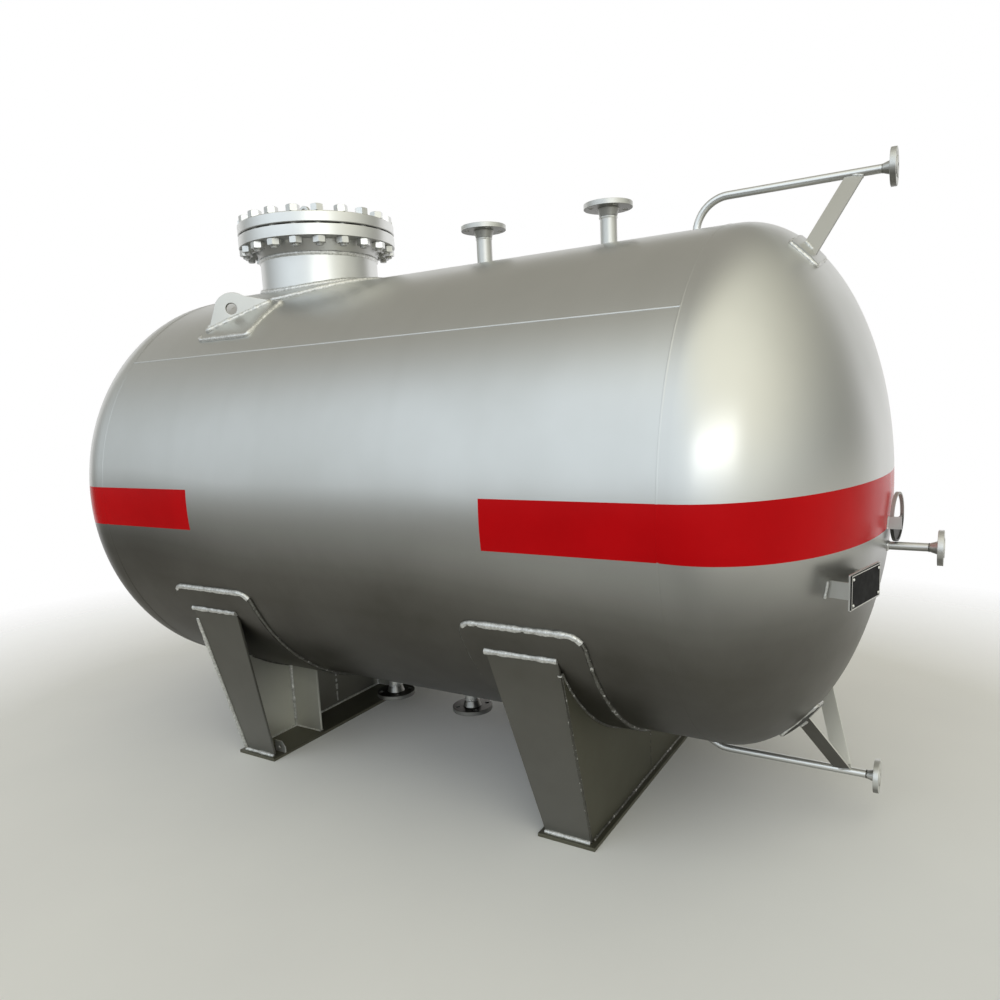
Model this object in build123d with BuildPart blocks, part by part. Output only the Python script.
"""Horizontal pressure tank: a cylindrical shell with ellipsoidal ends on two saddles.

All sizes are in millimetres. X runs along the tank, Z points up from the floor.
"""
import os
from math import acos, asin, cos, radians, sin, sqrt

from build123d import *

os.makedirs("parts", exist_ok=True)

# Tank body
inner_radius = 800.0
wall = 12.0
shell_length = 2220.0
head_straight = 25.0
head_depth = 400.0
shell_clearance = 253.0

# Manhole on the top of the shell
manhole_inset = 438.0
manhole_flange_radius = 320.0
manhole_flange_thick = 44.0
manhole_face_height = 210.0
manhole_neck_radius = 240.0
manhole_neck_wall = 14.0
manhole_hub_radius = 258.0
manhole_hub_length = 94.0
manhole_gasket_radius = 274.0
manhole_gasket_thick = 5.0
manhole_cover_thick = 42.0
manhole_bolt_circle = 292.5
manhole_bolt_hole = 15.0
manhole_bolts = 20
manhole_pad_radius = 350.0
manhole_pad_thick = 12.0
cover_lug_height = 98.0
cover_lug_offset = -62.0
cover_lug_width = 92.0
cover_lug_thick = 14.0
cover_lug_tip = 28.0
cover_lug_hole = 16.0

# Nozzles with the larger flange
top_nozzle_insets = (952.0, 452.0)
bottom_nozzle_insets = (687.0, 1096.0)
nozzle_projection = 145.0
nozzle_pipe_radius = 28.5
nozzle_bore = 24.5
nozzle_flange_radius = 82.5
nozzle_flange_thick = 20.0
nozzle_hub_radius = 37.5
nozzle_hub_length = 48.0
nozzle_face_radius = 51.0
nozzle_face_raise = 3.0
nozzle_bolt_circle = 62.5
nozzle_bolt_hole = 9.0
nozzle_bolts = 4
nozzle_inset = 4.0

# Gauge connections and the instrument nozzle with the smaller flange
small_pipe_radius = 12.5
small_bore = 9.5
small_flange_radius = 52.5
small_flange_thick = 18.0
small_hub_radius = 20.0
small_hub_length = 40.0
small_face_radius = 29.0
small_face_raise = 2.0
small_bolt_circle = 37.5
small_bolt_hole = 7.0
gauge_inset = 150.0
gauge_setback = 9.0
gauge_rise = 102.0
head_nozzle_reach = 143.0
head_nozzle_drop = 168.0

# Flat struts that carry the gauge pipes from pads on the right head
strut_width = 50.0
strut_thick = 6.0
strut_foot_x = 205.0
strut_foot_y = 175.0
strut_setback = 108.0
strut_pad_thick = 10.0
strut_pad_long = 140.0
strut_pad_short = 95.0

# Nameplate on the right head
plate_width = 188.0
plate_height = 88.0
plate_thick = 3.0
plate_margin = 3.0
plate_stand_off = 55.7
plate_side = -430.0
plate_drop = 194.0
plate_turn = 14.0
plate_back_thick = 4.0
plate_arm_height = 44.0
plate_arm_thick = 5.0
plate_arm_inset = 18.0

# Holder ring on the right head
ring_stand_off = 17.4
ring_drop = 79.0
ring_turn = 6.5
ring_radius = 74.0
ring_band = 6.0
ring_depth = 10.0
ring_fill_drop = 5.0
ring_fill_thick = 4.0
ring_arm_height = 36.0
ring_arm_drop = 7.0
ring_arm_thick = 6.0
ring_arm_over = 18.6
ring_arm_gap = 0.3

# Lifting lugs, one at each end on opposite sides
lug_foot_inset = 348.0
lug_foot_gap = 180.0
lug_turn = 37.4
lug_length = 236.0
lug_thick = 18.0
lug_shoulder = (39.0, 95.2)
lug_crown = (95.0, 104.5)
lug_far_shoulder = (142.0, 72.0)
lug_far_end = 18.0
lug_hole_centre = (94.5, 44.7)
lug_hole = 21.0
lug_pad_length = 258.0
lug_pad_width = 222.0
lug_pad_thick = 10.0
lug_pad_inset = 462.0
lug_pad_gap = 26.7

# Saddles
saddle_inset = 310.0
saddle_web_setback = 22.0
saddle_web_thick = 12.0
saddle_web_cope = 50.0
saddle_wing_thick = 10.0
saddle_wing_top = 238.0
saddle_wing_foot = 160.0
saddle_wing_setback = 20.0
saddle_wrap = 120.8
saddle_rib_y = 275.0
saddle_rib_thick = 10.0
saddle_base_width = 200.0
saddle_base_half = 560.0
saddle_base_thick = 12.0
saddle_bolt_setback = 80.0
saddle_bolt_hole = 12.0
saddle_slot_length = 50.0
saddle_pad_width = 400.0
saddle_pad_thick = 10.0
saddle_pad_wrap = 134.4
saddle_pad_corner = 45.0
saddle_pad_setback = 150.0
saddle_pad_shift = 23.0
saddle_pad_notch = 14.0
earth_lug_length = 55.0
earth_lug_height = 45.0
earth_lug_thick = 6.0
earth_lug_setback = 60.0
earth_lug_hole = 7.0

# Sizes that follow from the ones above
outer_radius = inner_radius + wall
axis_height = shell_clearance + outer_radius
tangent = shell_length / 2 + head_straight
head_tip = tangent + head_depth + wall
head_nozzle_face = head_tip + head_nozzle_reach
mid_x = (head_tip - head_nozzle_face) / 2
shell_top = axis_height + outer_radius
seam = shell_length / 2
manhole_station = manhole_inset - seam
top_nozzle_stations = (seam - top_nozzle_insets[0], seam - top_nozzle_insets[1])
bottom_nozzle_stations = (bottom_nozzle_insets[0] - seam, bottom_nozzle_insets[1] - seam)
gauge_station = seam - gauge_inset
gauge_face = head_tip - gauge_setback
gauge_offset = outer_radius + gauge_rise
strut_pipe_x = gauge_face - strut_setback
lug_foot_station = lug_foot_inset - seam
lug_foot_y = manhole_pad_radius + lug_foot_gap
lug_pad_station = lug_pad_inset - seam
lug_pad_edge = manhole_pad_radius + lug_pad_gap
lug_pad_angle = acos(lug_pad_edge / outer_radius) - asin(lug_pad_width / 2 / outer_radius)
saddle_base_outer = seam - saddle_inset
saddle_base_inner = saddle_base_outer - saddle_base_width
saddle_web_face = saddle_base_outer - saddle_web_setback
saddle_wing_foot_y = saddle_base_half - saddle_wing_setback
saddle_bolt_y = saddle_base_half - saddle_bolt_setback
earth_lug_y = saddle_base_half - earth_lug_setback
saddle_pad_station = saddle_base_outer - saddle_pad_setback
far = 4 * outer_radius
axis_point = (mid_x, 0, axis_height)
axis_plane = Plane(origin=axis_point, x_dir=(0, 1, 0), z_dir=(1, 0, 0))
saddle_outer = outer_radius + saddle_pad_thick
bend_radius = gauge_rise


def right_head_plane():
    """Return the profile plane of the right head, local X pointing outwards."""
    return Plane(origin=(mid_x + tangent, 0, axis_height), x_dir=(1, 0, 0), z_dir=(0, -1, 0))


def left_head_plane():
    """Return the profile plane of the left head, local X pointing outwards."""
    return Plane(origin=(mid_x - tangent, 0, axis_height), x_dir=(-1, 0, 0), z_dir=(0, 1, 0))


def dish_curve(gap):
    """Draw a quarter ellipse from the rim to the crown, offset from the inner surface."""
    depth = head_depth + gap
    radius = inner_radius + gap
    Bezier((0, radius), (depth, radius), (depth, 0), weights=(1, sqrt(0.5), 1))


def dish(plane, inner_gap, outer_gap, straight):
    """Revolve an ellipsoidal dish between two offsets from the inner surface."""
    low = inner_radius + inner_gap
    high = inner_radius + outer_gap
    with BuildSketch(plane) as section:
        with BuildLine():
            dish_curve(outer_gap)
            Line((head_depth + outer_gap, 0), (head_depth + inner_gap, 0))
            dish_curve(inner_gap)
            if straight:
                Polyline((0, low), (-straight, low), (-straight, high), (0, high))
            else:
                Line((0, low), (0, high))
        make_face()
    revolve(section.sketch, axis=Axis(plane.origin, plane.x_dir))


def cut_head(gap):
    """Cut away everything inside the right head, up to an offset from its inner surface."""
    plane = right_head_plane()
    radius = inner_radius + gap
    with BuildSketch(plane) as section:
        with BuildLine():
            dish_curve(gap)
            Polyline((head_depth + gap, 0), (-radius, 0), (-radius, radius), (0, radius))
        make_face()
    revolve(section.sketch, axis=Axis(plane.origin, plane.x_dir), mode=Mode.SUBTRACT)


def head_reach(side, rise):
    """Return how far the right head stands beyond its tangent line at a side and rise."""
    return (head_depth + wall) * sqrt(1 - (side**2 + rise**2) / outer_radius**2)


def tube(plane, outer, inner, length, mode=Mode.ADD):
    """Extrude a ring from a plane."""
    with BuildSketch(plane) as section:
        Circle(outer)
        Circle(inner, mode=Mode.SUBTRACT)
    extrude(section.sketch, amount=length, mode=mode)


def rod(plane, radius, length, mode=Mode.SUBTRACT):
    """Extrude a disc from a plane, as a cut unless told otherwise."""
    with BuildSketch(plane) as section:
        Circle(radius)
    extrude(section.sketch, amount=length, mode=mode)


def weld_neck(face, profile, bolts):
    """Revolve a weld-neck flange behind its face and drill its bolt circle."""
    lengthwise = Plane(origin=face.origin, x_dir=face.x_dir, z_dir=-face.y_dir)
    with BuildSketch(lengthwise) as section:
        with BuildLine():
            Polyline(*profile, close=True)
        make_face()
    revolve(section.sketch, axis=Axis(face.origin, face.z_dir))
    circle, hole, count, turn = bolts
    with BuildSketch(face) as section:
        with PolarLocations(circle, count, start_angle=turn):
            Circle(hole)
    extrude(section.sketch, amount=-far / 4, mode=Mode.SUBTRACT)


def nozzle_flange(face):
    """Make the larger weld-neck flange behind a face."""
    weld_neck(
        face,
        [
            (nozzle_bore, 0),
            (nozzle_face_radius, 0),
            (nozzle_face_radius, -nozzle_face_raise),
            (nozzle_flange_radius, -nozzle_face_raise),
            (nozzle_flange_radius, -nozzle_flange_thick),
            (nozzle_hub_radius, -nozzle_flange_thick),
            (nozzle_pipe_radius, -nozzle_hub_length),
            (nozzle_bore, -nozzle_hub_length),
        ],
        (nozzle_bolt_circle, nozzle_bolt_hole, nozzle_bolts, 180 / nozzle_bolts),
    )


def small_flange(face):
    """Make the smaller weld-neck flange behind a face."""
    weld_neck(
        face,
        [
            (small_bore, 0),
            (small_face_radius, 0),
            (small_face_radius, -small_face_raise),
            (small_flange_radius, -small_face_raise),
            (small_flange_radius, -small_flange_thick),
            (small_hub_radius, -small_flange_thick),
            (small_pipe_radius, -small_hub_length),
            (small_bore, -small_hub_length),
        ],
        (small_bolt_circle, small_bolt_hole, nozzle_bolts, 180 / nozzle_bolts),
    )


def up_plane(station, height):
    """Return a level plane facing up at a station along the tank."""
    return Plane(origin=(mid_x + station, 0, height), x_dir=(1, 0, 0), z_dir=(0, 0, 1))


def down_plane(station, height):
    """Return a level plane facing down at a station along the tank."""
    return Plane(origin=(mid_x + station, 0, height), x_dir=(1, 0, 0), z_dir=(0, 0, -1))


def end_plane(station, height):
    """Return an upright plane facing along +X at a station along the tank."""
    return Plane(origin=(mid_x + station, 0, height), x_dir=(0, 1, 0), z_dir=(1, 0, 0))


# Shell with an opening for every branch
with BuildPart() as shell:
    tube(axis_plane.offset(-shell_length / 2), outer_radius, inner_radius, shell_length)
    rod(up_plane(manhole_station, axis_height), manhole_neck_radius, far)
    for station in top_nozzle_stations:
        rod(up_plane(station, axis_height), nozzle_pipe_radius, far)
    for station in bottom_nozzle_stations:
        rod(down_plane(station, axis_height), nozzle_pipe_radius, far)
    rod(up_plane(gauge_station, axis_height), small_pipe_radius, far)
    rod(down_plane(gauge_station, axis_height), small_pipe_radius, far)
shell.part.label = "shell"
export_step(shell.part, "parts/shell.step")

with BuildPart() as head_left:
    dish(left_head_plane(), 0.0, wall, head_straight)
head_left.part.label = "head_left"
export_step(head_left.part, "parts/head_left.step")

with BuildPart() as head_right:
    dish(right_head_plane(), 0.0, wall, head_straight)
    rod(end_plane(tangent, axis_height - head_nozzle_drop), small_pipe_radius, far)
head_right.part.label = "head_right"
export_step(head_right.part, "parts/head_right.step")

# Manhole
manhole_face = shell_top + manhole_face_height
with BuildPart() as manhole_pad:
    pad_start = manhole_station - 1.2 * manhole_pad_radius
    tube(axis_plane.offset(pad_start), outer_radius + manhole_pad_thick, outer_radius,
         2.4 * manhole_pad_radius)
    tube(up_plane(manhole_station, axis_height), manhole_pad_radius, manhole_neck_radius, far,
         Mode.INTERSECT)
manhole_pad.part.label = "manhole_pad"
export_step(manhole_pad.part, "parts/manhole_pad.step")

with BuildPart() as manhole_neck:
    neck_top = manhole_face - manhole_hub_length
    tube(up_plane(manhole_station, axis_height), manhole_neck_radius,
         manhole_neck_radius - manhole_neck_wall, neck_top - axis_height)
    rod(axis_plane.offset(-far / 2), inner_radius - nozzle_inset, far)
manhole_neck.part.label = "manhole_neck"
export_step(manhole_neck.part, "parts/manhole_neck.step")

with BuildPart() as manhole_flange:
    weld_neck(
        up_plane(manhole_station, manhole_face),
        [
            (manhole_neck_radius - manhole_neck_wall, 0),
            (manhole_flange_radius, 0),
            (manhole_flange_radius, -manhole_flange_thick),
            (manhole_hub_radius, -manhole_flange_thick),
            (manhole_neck_radius, -manhole_hub_length),
            (manhole_neck_radius - manhole_neck_wall, -manhole_hub_length),
        ],
        (manhole_bolt_circle, manhole_bolt_hole, manhole_bolts, 180 / manhole_bolts),
    )
manhole_flange.part.label = "manhole_flange"
export_step(manhole_flange.part, "parts/manhole_flange.step")

with BuildPart() as manhole_gasket:
    tube(up_plane(manhole_station, manhole_face), manhole_gasket_radius,
         manhole_neck_radius - manhole_neck_wall, manhole_gasket_thick)
manhole_gasket.part.label = "manhole_gasket"
export_step(manhole_gasket.part, "parts/manhole_gasket.step")

cover_top = manhole_face + manhole_gasket_thick + manhole_cover_thick
with BuildPart() as manhole_cover:
    with BuildSketch(up_plane(manhole_station, cover_top)):
        Circle(manhole_flange_radius)
        with PolarLocations(manhole_bolt_circle, manhole_bolts, start_angle=180 / manhole_bolts):
            Circle(manhole_bolt_hole, mode=Mode.SUBTRACT)
    extrude(amount=-manhole_cover_thick)
    rim = manhole_cover.edges().filter_by(GeomType.CIRCLE).group_by(SortBy.RADIUS)[-1]
    chamfer(rim, length=3)
manhole_cover.part.label = "manhole_cover"
export_step(manhole_cover.part, "parts/manhole_cover.step")

with BuildPart() as cover_lug:
    lug_foot = (mid_x + manhole_station + cover_lug_offset, 0, cover_top)
    upright = Plane(origin=lug_foot, x_dir=(1, 0, 0), z_dir=(0, -1, 0))
    with BuildSketch(upright):
        with BuildLine():
            shoulder = cover_lug_height - cover_lug_tip
            Polyline((-cover_lug_tip, shoulder), (-cover_lug_width / 2, 0),
                     (cover_lug_width / 2, 0), (cover_lug_tip, shoulder))
            ThreePointArc((cover_lug_tip, shoulder), (0, cover_lug_height), (-cover_lug_tip, shoulder))
        make_face()
        with Locations((0, shoulder)):
            Circle(cover_lug_hole, mode=Mode.SUBTRACT)
    extrude(amount=cover_lug_thick / 2, both=True)
cover_lug.part.label = "cover_lug"
export_step(cover_lug.part, "parts/cover_lug.step")

# Nozzles on the top and bottom of the shell
nozzle_reach = outer_radius + nozzle_projection
pipe_reach = nozzle_reach - nozzle_hub_length
with BuildPart() as top_nozzle_1_pipe:
    tube(up_plane(top_nozzle_stations[0], axis_height), nozzle_pipe_radius, nozzle_bore, pipe_reach)
    rod(axis_plane.offset(-far / 2), inner_radius - nozzle_inset, far)
top_nozzle_1_pipe.part.label = "top_nozzle_1_pipe"
export_step(top_nozzle_1_pipe.part, "parts/top_nozzle_1_pipe.step")

with BuildPart() as top_nozzle_1_flange:
    nozzle_flange(up_plane(top_nozzle_stations[0], axis_height + nozzle_reach))
top_nozzle_1_flange.part.label = "top_nozzle_1_flange"
export_step(top_nozzle_1_flange.part, "parts/top_nozzle_1_flange.step")

with BuildPart() as top_nozzle_2_pipe:
    tube(up_plane(top_nozzle_stations[1], axis_height), nozzle_pipe_radius, nozzle_bore, pipe_reach)
    rod(axis_plane.offset(-far / 2), inner_radius - nozzle_inset, far)
top_nozzle_2_pipe.part.label = "top_nozzle_2_pipe"
export_step(top_nozzle_2_pipe.part, "parts/top_nozzle_2_pipe.step")

with BuildPart() as top_nozzle_2_flange:
    nozzle_flange(up_plane(top_nozzle_stations[1], axis_height + nozzle_reach))
top_nozzle_2_flange.part.label = "top_nozzle_2_flange"
export_step(top_nozzle_2_flange.part, "parts/top_nozzle_2_flange.step")

with BuildPart() as bottom_nozzle_1_pipe:
    tube(down_plane(bottom_nozzle_stations[0], axis_height), nozzle_pipe_radius, nozzle_bore,
         pipe_reach)
    rod(axis_plane.offset(-far / 2), inner_radius - nozzle_inset, far)
bottom_nozzle_1_pipe.part.label = "bottom_nozzle_1_pipe"
export_step(bottom_nozzle_1_pipe.part, "parts/bottom_nozzle_1_pipe.step")

with BuildPart() as bottom_nozzle_1_flange:
    nozzle_flange(down_plane(bottom_nozzle_stations[0], axis_height - nozzle_reach))
bottom_nozzle_1_flange.part.label = "bottom_nozzle_1_flange"
export_step(bottom_nozzle_1_flange.part, "parts/bottom_nozzle_1_flange.step")

with BuildPart() as bottom_nozzle_2_pipe:
    tube(down_plane(bottom_nozzle_stations[1], axis_height), nozzle_pipe_radius, nozzle_bore,
         pipe_reach)
    rod(axis_plane.offset(-far / 2), inner_radius - nozzle_inset, far)
bottom_nozzle_2_pipe.part.label = "bottom_nozzle_2_pipe"
export_step(bottom_nozzle_2_pipe.part, "parts/bottom_nozzle_2_pipe.step")

with BuildPart() as bottom_nozzle_2_flange:
    nozzle_flange(down_plane(bottom_nozzle_stations[1], axis_height - nozzle_reach))
bottom_nozzle_2_flange.part.label = "bottom_nozzle_2_flange"
export_step(bottom_nozzle_2_flange.part, "parts/bottom_nozzle_2_flange.step")


def gauge_pipe(side):
    """Sweep a bent gauge pipe above (side 1) or below (side -1) the shell."""
    start = (mid_x + gauge_station, 0, axis_height + side * (inner_radius - nozzle_inset))
    corner = (mid_x + gauge_station, 0, axis_height + side * gauge_offset)
    finish = (mid_x + gauge_face - small_hub_length, 0, axis_height + side * gauge_offset)
    with BuildLine() as route:
        FilletPolyline(start, corner, finish, radius=bend_radius)
    with BuildSketch(Plane(origin=start, x_dir=(1, 0, 0), z_dir=(0, 0, side))) as section:
        Circle(small_pipe_radius)
        Circle(small_bore, mode=Mode.SUBTRACT)
    sweep(section.sketch, path=route.wire())


def strut_foot(side, hand):
    """Return the point on a strut pad where a strut stands."""
    radius = outer_radius + strut_pad_thick
    depth = head_depth + wall + strut_pad_thick
    ring = radius * sqrt(1 - (strut_foot_x / depth) ** 2)
    rise = sqrt(ring**2 - strut_foot_y**2)
    return Vector(mid_x + tangent + strut_foot_x, hand * strut_foot_y, axis_height + side * rise)


def strut_pad(side, hand, along, across):
    """Shape a curved pad on the right head around a strut foot."""
    foot = strut_foot(side, hand)
    radius = outer_radius + strut_pad_thick
    depth = head_depth + wall + strut_pad_thick
    spot = foot - Vector(mid_x + tangent, 0, axis_height)
    normal = Vector(spot.X / depth**2, spot.Y / radius**2, spot.Z / radius**2).normalized()
    sideways = normal.cross(Vector(1, 0, 0)).normalized()
    with BuildPart() as patch:
        dish(right_head_plane(), wall, wall + strut_pad_thick, 0)
        with BuildSketch(Plane(origin=foot, x_dir=sideways, z_dir=normal)) as section:
            Rectangle(across, along)
        extrude(section.sketch, amount=along, both=True, mode=Mode.INTERSECT)
    add(patch.part)


def strut(side, hand):
    """Run a flat strut from its pad on the right head to the gauge pipe."""
    foot = strut_foot(side, hand)
    head = Vector(mid_x + strut_pipe_x, 0, axis_height + side * gauge_offset)
    line = (head - foot).normalized()
    face = line.cross(Vector(1, 0, 0)).normalized()
    with BuildSketch(Plane(origin=foot - line * strut_width, x_dir=line.cross(face), z_dir=line)) as section:
        Rectangle(strut_width, strut_thick)
    extrude(section.sketch, amount=(head - foot).length + strut_width)
    with BuildSketch(Plane.XY.offset(head.Z)) as section:
        Rectangle(2 * far, far)
    extrude(section.sketch, amount=side * far, mode=Mode.SUBTRACT)
    rod(end_plane(0, axis_height + side * gauge_offset), small_pipe_radius, far)
    cut_head(wall + strut_pad_thick)


# Gauge connections
with BuildPart() as gauge_top_pipe:
    gauge_pipe(1)
gauge_top_pipe.part.label = "gauge_top_pipe"
export_step(gauge_top_pipe.part, "parts/gauge_top_pipe.step")

with BuildPart() as gauge_top_flange:
    small_flange(end_plane(gauge_face, axis_height + gauge_offset))
gauge_top_flange.part.label = "gauge_top_flange"
export_step(gauge_top_flange.part, "parts/gauge_top_flange.step")

with BuildPart() as gauge_top_pad:
    strut_pad(1, -1, strut_pad_short, strut_pad_long)
gauge_top_pad.part.label = "gauge_top_pad"
export_step(gauge_top_pad.part, "parts/gauge_top_pad.step")

with BuildPart() as gauge_top_strut:
    strut(1, -1)
gauge_top_strut.part.label = "gauge_top_strut"
export_step(gauge_top_strut.part, "parts/gauge_top_strut.step")

with BuildPart() as gauge_bottom_pipe:
    gauge_pipe(-1)
gauge_bottom_pipe.part.label = "gauge_bottom_pipe"
export_step(gauge_bottom_pipe.part, "parts/gauge_bottom_pipe.step")

with BuildPart() as gauge_bottom_flange:
    small_flange(end_plane(gauge_face, axis_height - gauge_offset))
gauge_bottom_flange.part.label = "gauge_bottom_flange"
export_step(gauge_bottom_flange.part, "parts/gauge_bottom_flange.step")

with BuildPart() as gauge_bottom_pads:
    strut_pad(-1, -1, strut_pad_long, strut_pad_short)
    strut_pad(-1, 1, strut_pad_long, strut_pad_short)
gauge_bottom_pads.part.label = "gauge_bottom_pads"
export_step(gauge_bottom_pads.part, "parts/gauge_bottom_pads.step")

with BuildPart() as gauge_bottom_struts:
    strut(-1, -1)
    strut(-1, 1)
gauge_bottom_struts.part.label = "gauge_bottom_struts"
export_step(gauge_bottom_struts.part, "parts/gauge_bottom_struts.step")

# Instrument nozzle on the right head
with BuildPart() as head_nozzle_pipe:
    tube(end_plane(tangent, axis_height - head_nozzle_drop), small_pipe_radius, small_bore,
         head_nozzle_face - small_hub_length - tangent)
    cut_head(-nozzle_inset)
head_nozzle_pipe.part.label = "head_nozzle_pipe"
export_step(head_nozzle_pipe.part, "parts/head_nozzle_pipe.step")

with BuildPart() as head_nozzle_flange:
    small_flange(end_plane(head_nozzle_face, axis_height - head_nozzle_drop))
head_nozzle_flange.part.label = "head_nozzle_flange"
export_step(head_nozzle_flange.part, "parts/head_nozzle_flange.step")


def turned_plane(stand_off, side, drop, turn):
    """Return an upright plane off the right head, turned about Z towards the near side."""
    angle = radians(turn)
    origin = (mid_x + tangent + head_reach(side, drop) + stand_off, side, axis_height - drop)
    return Plane(origin=origin, x_dir=(sin(angle), cos(angle), 0), z_dir=(cos(angle), -sin(angle), 0))


# Nameplate on its bracket
plate_plane = turned_plane(plate_stand_off, plate_side, plate_drop, plate_turn)
with BuildPart() as nameplate:
    with BuildSketch(plate_plane):
        RectangleRounded(plate_width, plate_height, plate_margin / 2)
    extrude(amount=plate_thick)
nameplate.part.label = "nameplate"
export_step(nameplate.part, "parts/nameplate.step")

with BuildPart() as nameplate_bracket:
    with BuildSketch(plate_plane):
        RectangleRounded(plate_width + 2 * plate_margin, plate_height + 2 * plate_margin, plate_margin)
    extrude(amount=-plate_back_thick)
    with BuildSketch(plate_plane.offset(-plate_back_thick)):
        with GridLocations(plate_width - 2 * plate_arm_inset, 0, 2, 1):
            Rectangle(plate_arm_thick, plate_arm_height)
    extrude(amount=-plate_width)
    cut_head(wall)
nameplate_bracket.part.label = "nameplate_bracket"
export_step(nameplate_bracket.part, "parts/nameplate_bracket.step")

# Holder ring with its filled lower half, and the flat arm that joins it to the head
ring_plane = turned_plane(ring_stand_off, 0.0, ring_drop, ring_turn)
with BuildPart() as holder_ring:
    with BuildSketch(ring_plane):
        Circle(ring_radius)
        Circle(ring_radius - ring_band, mode=Mode.SUBTRACT)
    extrude(amount=ring_depth / 2, both=True)
    with BuildSketch(ring_plane):
        Circle(ring_radius - ring_band / 2)
        with Locations((0, -ring_fill_drop)):
            Rectangle(far, far, align=(Align.CENTER, Align.MIN), mode=Mode.SUBTRACT)
    extrude(amount=ring_fill_thick / 2, both=True)
holder_ring.part.label = "holder_ring"
export_step(holder_ring.part, "parts/holder_ring.step")

ring_reach = ring_radius * cos(radians(ring_turn)) + ring_depth / 2 * sin(radians(ring_turn))
arm_end = ring_plane.origin + Vector(ring_arm_over, -ring_reach - ring_arm_gap, -ring_arm_drop)
with BuildPart() as holder_arm:
    with BuildSketch(Plane(origin=arm_end, x_dir=(-1, 0, 0), z_dir=(0, -1, 0))):
        Rectangle(ring_radius + ring_arm_over, ring_arm_height, align=(Align.MIN, Align.CENTER))
    extrude(amount=ring_arm_thick)
    cut_head(wall)
holder_arm.part.label = "holder_arm"
export_step(holder_arm.part, "parts/holder_arm.step")


def lug_pad(hand):
    """Shape a curved lug pad on the near (hand -1) or far (hand 1) side."""
    angle = lug_pad_angle
    station = -hand * lug_pad_station
    out = Plane(origin=(mid_x + station, 0, axis_height), x_dir=(1, 0, 0),
                z_dir=(0, hand * cos(angle), sin(angle)))
    with BuildPart() as patch:
        tube(axis_plane.offset(station - lug_pad_length), outer_radius + lug_pad_thick, outer_radius,
             2 * lug_pad_length)
        with BuildSketch(out) as section:
            RectangleRounded(lug_pad_length, lug_pad_width, lug_pad_thick)
        extrude(section.sketch, amount=far, mode=Mode.INTERSECT)
    add(patch.part)


def lug_point(spot):
    """Turn a run along the lug and a rise above the shell into a point over the lug's foot."""
    run, rise = spot
    foot = sqrt(outer_radius**2 - lug_foot_y**2)
    shell_height = sqrt(outer_radius**2 - (lug_foot_y - run * sin(radians(lug_turn))) ** 2)
    return (run, shell_height + rise - foot)


def lifting_lug(hand):
    """Stand an upright lifting lug on the near (hand -1) or far (hand 1) pad."""
    angle = radians(lug_turn)
    along = Vector(-hand * cos(angle), -hand * sin(angle), 0)
    origin = (mid_x - hand * lug_foot_station, hand * lug_foot_y,
              axis_height + sqrt(outer_radius**2 - lug_foot_y**2))
    with BuildSketch(Plane(origin=origin, x_dir=along, z_dir=along.cross(Vector(0, 0, 1)))) as section:
        with BuildLine():
            base = -lug_length / 2
            shoulder = lug_point(lug_shoulder)
            far_shoulder = lug_point(lug_far_shoulder)
            Polyline(far_shoulder, lug_point((lug_length, lug_far_end)), (lug_length, base), (0, base),
                     (0, 0), shoulder)
            ThreePointArc(shoulder, lug_point(lug_crown), far_shoulder)
        make_face()
        with Locations(lug_point(lug_hole_centre)):
            Circle(lug_hole, mode=Mode.SUBTRACT)
    extrude(section.sketch, amount=lug_thick / 2, both=True)
    rod(axis_plane.offset(-far / 2), outer_radius + lug_pad_thick, far)


# Lifting lugs
with BuildPart() as lug_pads:
    lug_pad(-1)
    lug_pad(1)
lug_pads.part.label = "lug_pads"
export_step(lug_pads.part, "parts/lug_pads.step")

with BuildPart() as lifting_lugs:
    lifting_lug(-1)
    lifting_lug(1)
lifting_lugs.part.label = "lifting_lugs"
export_step(lifting_lugs.part, "parts/lifting_lugs.step")

# Saddle outline in the end view
wrap_half = radians(saddle_wrap / 2)
wing_top_y = saddle_outer * sin(wrap_half)
wing_top_z = axis_height - saddle_outer * cos(wrap_half)
wing_run = Vector(0, wing_top_y - saddle_wing_foot_y, wing_top_z - saddle_base_thick)
wing_lean = wing_run.normalized()
wing_inner = saddle_wing_thick / wing_lean.Z


def saddle_pad(side, shift):
    """Wrap a rounded pad under the shell on the left (side -1) or right (side 1)."""
    half = radians(saddle_pad_wrap / 2)
    station = side * saddle_pad_station + shift
    with BuildSketch(axis_plane.offset(station - saddle_pad_width / 2)) as section:
        Circle(saddle_outer)
        Circle(outer_radius, mode=Mode.SUBTRACT)
        with BuildLine():
            Polyline((0, 0), (-far * sin(half), -far * cos(half)), (-far * sin(half), -2 * far),
                     (far * sin(half), -2 * far), (far * sin(half), -far * cos(half)), close=True)
        make_face(mode=Mode.INTERSECT)
    pad = extrude(section.sketch, amount=saddle_pad_width)
    corners = pad.edges().filter_by(GeomType.LINE)
    corners = corners.filter_by(lambda edge: abs(edge.length - saddle_pad_thick) < 0.01)
    fillet(corners, radius=saddle_pad_corner)


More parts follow.
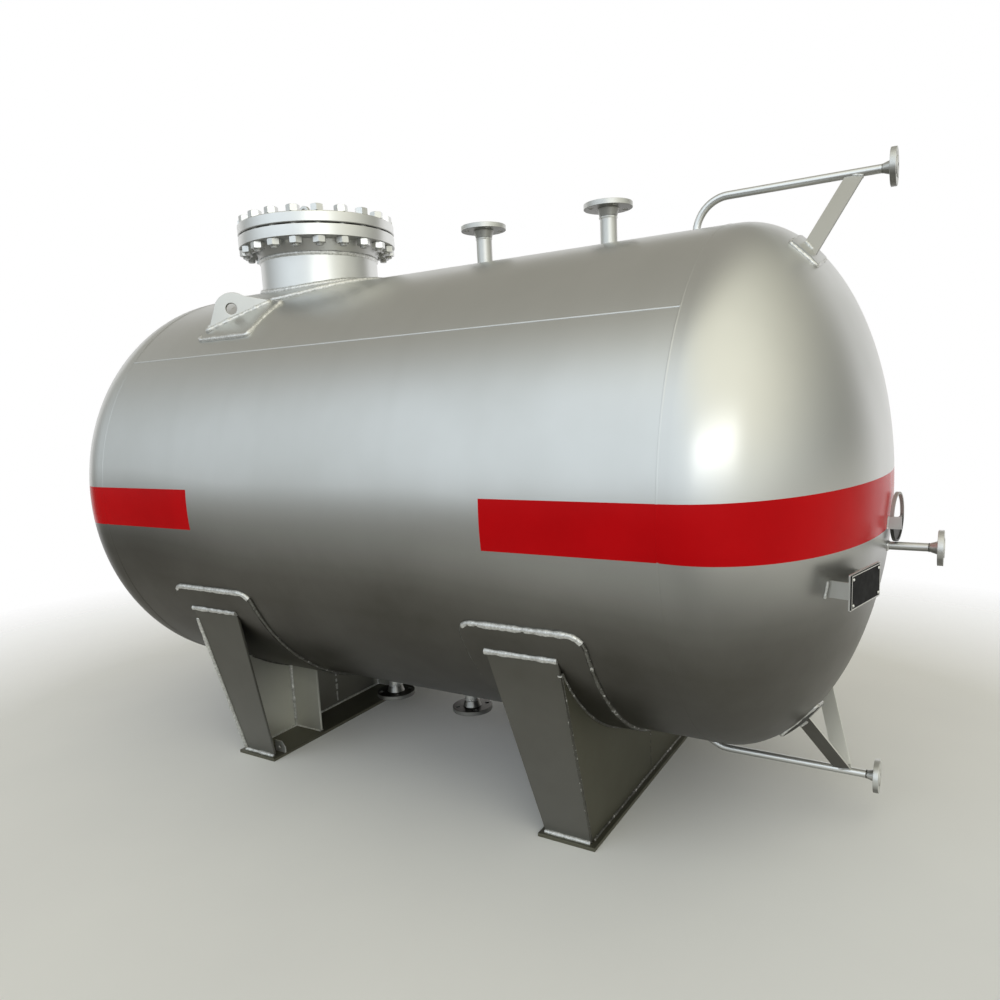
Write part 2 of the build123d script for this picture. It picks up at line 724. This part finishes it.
def saddle_web(side):
    """Stand the upright web plate between the wings of a saddle."""
    face = Plane(origin=(mid_x + side * saddle_web_face, 0, 0), x_dir=(0, 1, 0), z_dir=(1, 0, 0))
    with BuildSketch(face) as section:
        with BuildLine():
            foot = saddle_wing_foot_y - wing_inner
            top = wing_top_y - wing_inner
            Polyline((-foot, saddle_base_thick), (foot, saddle_base_thick), (top, wing_top_z),
                     (-top, wing_top_z), close=True)
        make_face()
    extrude(section.sketch, amount=-side * saddle_web_thick)
    with BuildSketch(face) as section:
        with Locations((-top, wing_top_z), (top, wing_top_z)):
            Circle(saddle_web_cope)
    extrude(section.sketch, amount=-side * saddle_web_thick, mode=Mode.SUBTRACT)
    rod(axis_plane.offset(-far / 2), saddle_outer, far)


def saddle_wing(side, hand):
    """Lean an end rib of a saddle on the near (hand -1) or far (hand 1) side."""
    lean = Vector(0, hand * wing_lean.Y, wing_lean.Z)
    inward = Vector(-side, 0, 0)
    foot = (mid_x + side * saddle_web_face, hand * saddle_wing_foot_y, saddle_base_thick)
    with BuildSketch(Plane(origin=foot, x_dir=inward, z_dir=inward.cross(lean))) as section:
        with BuildLine():
            drop = -4 * saddle_wing_thick
            Polyline((0, drop), (saddle_wing_foot, drop), (saddle_wing_foot, 0),
                     (saddle_wing_top, wing_run.length), (0, wing_run.length), close=True)
        make_face()
    extrude(section.sketch, amount=-side * hand * saddle_wing_thick)
    rod(axis_plane.offset(-far / 2), saddle_outer, far)
    with BuildSketch(Plane.XY.offset(saddle_base_thick)) as section:
        Rectangle(2 * far, far)
    extrude(section.sketch, amount=-far, mode=Mode.SUBTRACT)


def saddle_ribs(side):
    """Stand the two upright ribs of a saddle between its web and free edge."""
    inner = saddle_web_face - saddle_web_thick
    free = saddle_web_face - saddle_wing_foot
    middle = (mid_x + side * (inner + free) / 2, 0)
    with BuildSketch(Plane.XY.offset(saddle_base_thick)) as section:
        with Locations(middle):
            with GridLocations(0, 2 * saddle_rib_y, 1, 2):
                Rectangle(inner - free, saddle_rib_thick)
    extrude(section.sketch, amount=axis_height - saddle_base_thick)
    rod(axis_plane.offset(-far / 2), saddle_outer, far)


def saddle_base(side, slotted):
    """Lay the base plate of a saddle with round or slotted bolt holes."""
    width = saddle_base_outer - saddle_base_inner
    middle = mid_x + side * (saddle_base_outer + saddle_base_inner) / 2
    with BuildSketch(Plane.XY) as section:
        with Locations((middle, 0)):
            Rectangle(width, 2 * saddle_base_half)
            with GridLocations(0, 2 * saddle_bolt_y, 1, 2):
                if slotted:
                    SlotOverall(saddle_slot_length, 2 * saddle_bolt_hole, mode=Mode.SUBTRACT)
                else:
                    Circle(saddle_bolt_hole, mode=Mode.SUBTRACT)
    extrude(section.sketch, amount=saddle_base_thick)


# Fixed saddle on the left
with BuildPart() as saddle_left_pad:
    saddle_pad(-1, saddle_pad_shift)
    rod(down_plane(bottom_nozzle_stations[0], axis_height), nozzle_pipe_radius + saddle_pad_notch, far)
saddle_left_pad.part.label = "saddle_left_pad"
export_step(saddle_left_pad.part, "parts/saddle_left_pad.step")

with BuildPart() as saddle_left_web:
    saddle_web(-1)
saddle_left_web.part.label = "saddle_left_web"
export_step(saddle_left_web.part, "parts/saddle_left_web.step")

with BuildPart() as saddle_left_wings:
    saddle_wing(-1, -1)
    saddle_wing(-1, 1)
saddle_left_wings.part.label = "saddle_left_wings"
export_step(saddle_left_wings.part, "parts/saddle_left_wings.step")

with BuildPart() as saddle_left_ribs:
    saddle_ribs(-1)
saddle_left_ribs.part.label = "saddle_left_ribs"
export_step(saddle_left_ribs.part, "parts/saddle_left_ribs.step")

with BuildPart() as saddle_left_base:
    saddle_base(-1, False)
saddle_left_base.part.label = "saddle_left_base"
export_step(saddle_left_base.part, "parts/saddle_left_base.step")

with BuildPart() as earth_lug:
    stand = Plane(origin=(mid_x - saddle_base_inner, -earth_lug_y, saddle_base_thick),
                  x_dir=(-1, 0, 0), z_dir=(0, 1, 0))
    with BuildSketch(stand):
        with BuildLine():
            Polyline((0, 0), (earth_lug_length, 0), (earth_lug_length, earth_lug_height),
                     (earth_lug_length / 3, earth_lug_height), (0, earth_lug_height / 2), close=True)
        make_face()
        with Locations((earth_lug_length / 2, earth_lug_height / 2)):
            Circle(earth_lug_hole, mode=Mode.SUBTRACT)
    extrude(amount=earth_lug_thick)
earth_lug.part.label = "earth_lug"
export_step(earth_lug.part, "parts/earth_lug.step")

# Sliding saddle on the right
with BuildPart() as saddle_right_pad:
    saddle_pad(1, saddle_pad_shift)
saddle_right_pad.part.label = "saddle_right_pad"
export_step(saddle_right_pad.part, "parts/saddle_right_pad.step")

with BuildPart() as saddle_right_web:
    saddle_web(1)
saddle_right_web.part.label = "saddle_right_web"
export_step(saddle_right_web.part, "parts/saddle_right_web.step")

with BuildPart() as saddle_right_wings:
    saddle_wing(1, -1)
    saddle_wing(1, 1)
saddle_right_wings.part.label = "saddle_right_wings"
export_step(saddle_right_wings.part, "parts/saddle_right_wings.step")

with BuildPart() as saddle_right_ribs:
    saddle_ribs(1)
saddle_right_ribs.part.label = "saddle_right_ribs"
export_step(saddle_right_ribs.part, "parts/saddle_right_ribs.step")

with BuildPart() as saddle_right_base:
    saddle_base(1, True)
saddle_right_base.part.label = "saddle_right_base"
export_step(saddle_right_base.part, "parts/saddle_right_base.step")
